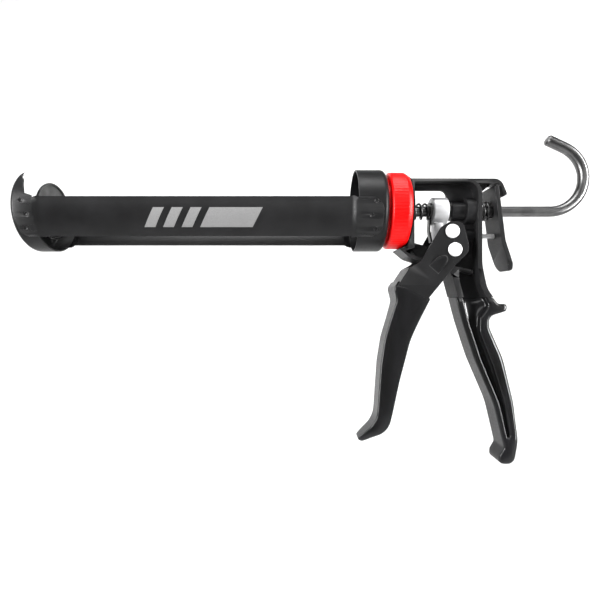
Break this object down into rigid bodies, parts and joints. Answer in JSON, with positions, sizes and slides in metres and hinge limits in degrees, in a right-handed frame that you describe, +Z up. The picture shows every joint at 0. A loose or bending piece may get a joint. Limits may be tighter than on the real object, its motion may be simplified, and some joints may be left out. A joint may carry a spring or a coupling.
{
  "type": "caulking gun",
  "caption": "Hand-operated caulking gun: open two-strip cage that turns, push rod with hooked end, trigger, handle and brake lever.",
  "frame": {"origin": "on the push rod's axis, in the plane where the rear ring's back face meets the collar, which is the back of the cartridge bay", "axes": "+X along the rod towards its hooked end, the nozzle at -X; +Z up, the handle hangs at -Z; the cage's side strips are at -Y and +Y"},
  "size_m": [0.3868, 0.0578, 0.2273],
  "materials": {
    "cast_black": "satin",
    "black_steel": "satin",
    "vinyl": "gloss",
    "red_plastic": "gloss",
    "zinc": "satin",
    "bright_steel": "polished",
    "spring_steel": "blackened",
    "rod_steel": "blackened satin"
  },
  "bodies": {
    "frame": {"frame": "cast_black", "rod_bushing": "black_steel", "handle_grip": "vinyl", "cage_washer": "bright_steel", "pivot_rivet": "bright_steel", "drive_spring": "spring_steel", "brake_spring": "spring_steel"},
    "cage": {"front_cap": "black_steel", "rear_ring": "black_steel", "side_strip_near": "black_steel", "side_strip_far": "black_steel", "collar": "red_plastic"},
    "trigger": {"trigger": "black_steel", "trigger_grip": "vinyl", "drive_rivet": "bright_steel"},
    "drive": {"drive_plate": "spring_steel", "drive_block": "zinc"},
    "release": {"release_lever": "black_steel", "guide_pin": "bright_steel"},
    "rod": {"push_rod": "rod_steel", "plunger_plate": "zinc", "plunger_washer": "bright_steel", "plunger_nut_front": "bright_steel", "plunger_nut_rear": "bright_steel"}
  },
  "joints": [
    {"name": "cage_turn", "type": "hinge", "parent": "frame", "child": "cage", "pos_m": [0, 0, 0], "axis": [1, 0, 0], "continuous": true},
    {"name": "rod_slide", "type": "slide", "parent": "frame", "child": "rod", "axis": [1, 0, 0], "range_m": [0, 0.217]},
    {"name": "trigger_pull", "type": "hinge", "parent": "frame", "child": "trigger", "pos_m": [0.0467, 0, -0.028], "axis": [0, -1, 0], "range_deg": [0, 30], "stiffness_Nm_per_rad": 1.2, "springref_deg": -14.32},
    {"name": "drive_slide", "type": "slide", "parent": "frame", "child": "drive", "axis": [-1, 0, 0], "range_m": [0, 0.0064], "deforming": ["drive_spring"]},
    {"name": "lever_release", "type": "hinge", "parent": "frame", "child": "release", "pos_m": [0.0756, 0, 0.0164], "axis": [0, 1, 0], "range_deg": [0, 5], "stiffness_Nm_per_rad": 0.6, "springref_deg": -11.46, "deforming": ["brake_spring"]}
  ],
  "couplings": [
    {"joint": "drive_slide", "follows": "trigger_pull", "m_per_rad": 0.012}
  ]
}
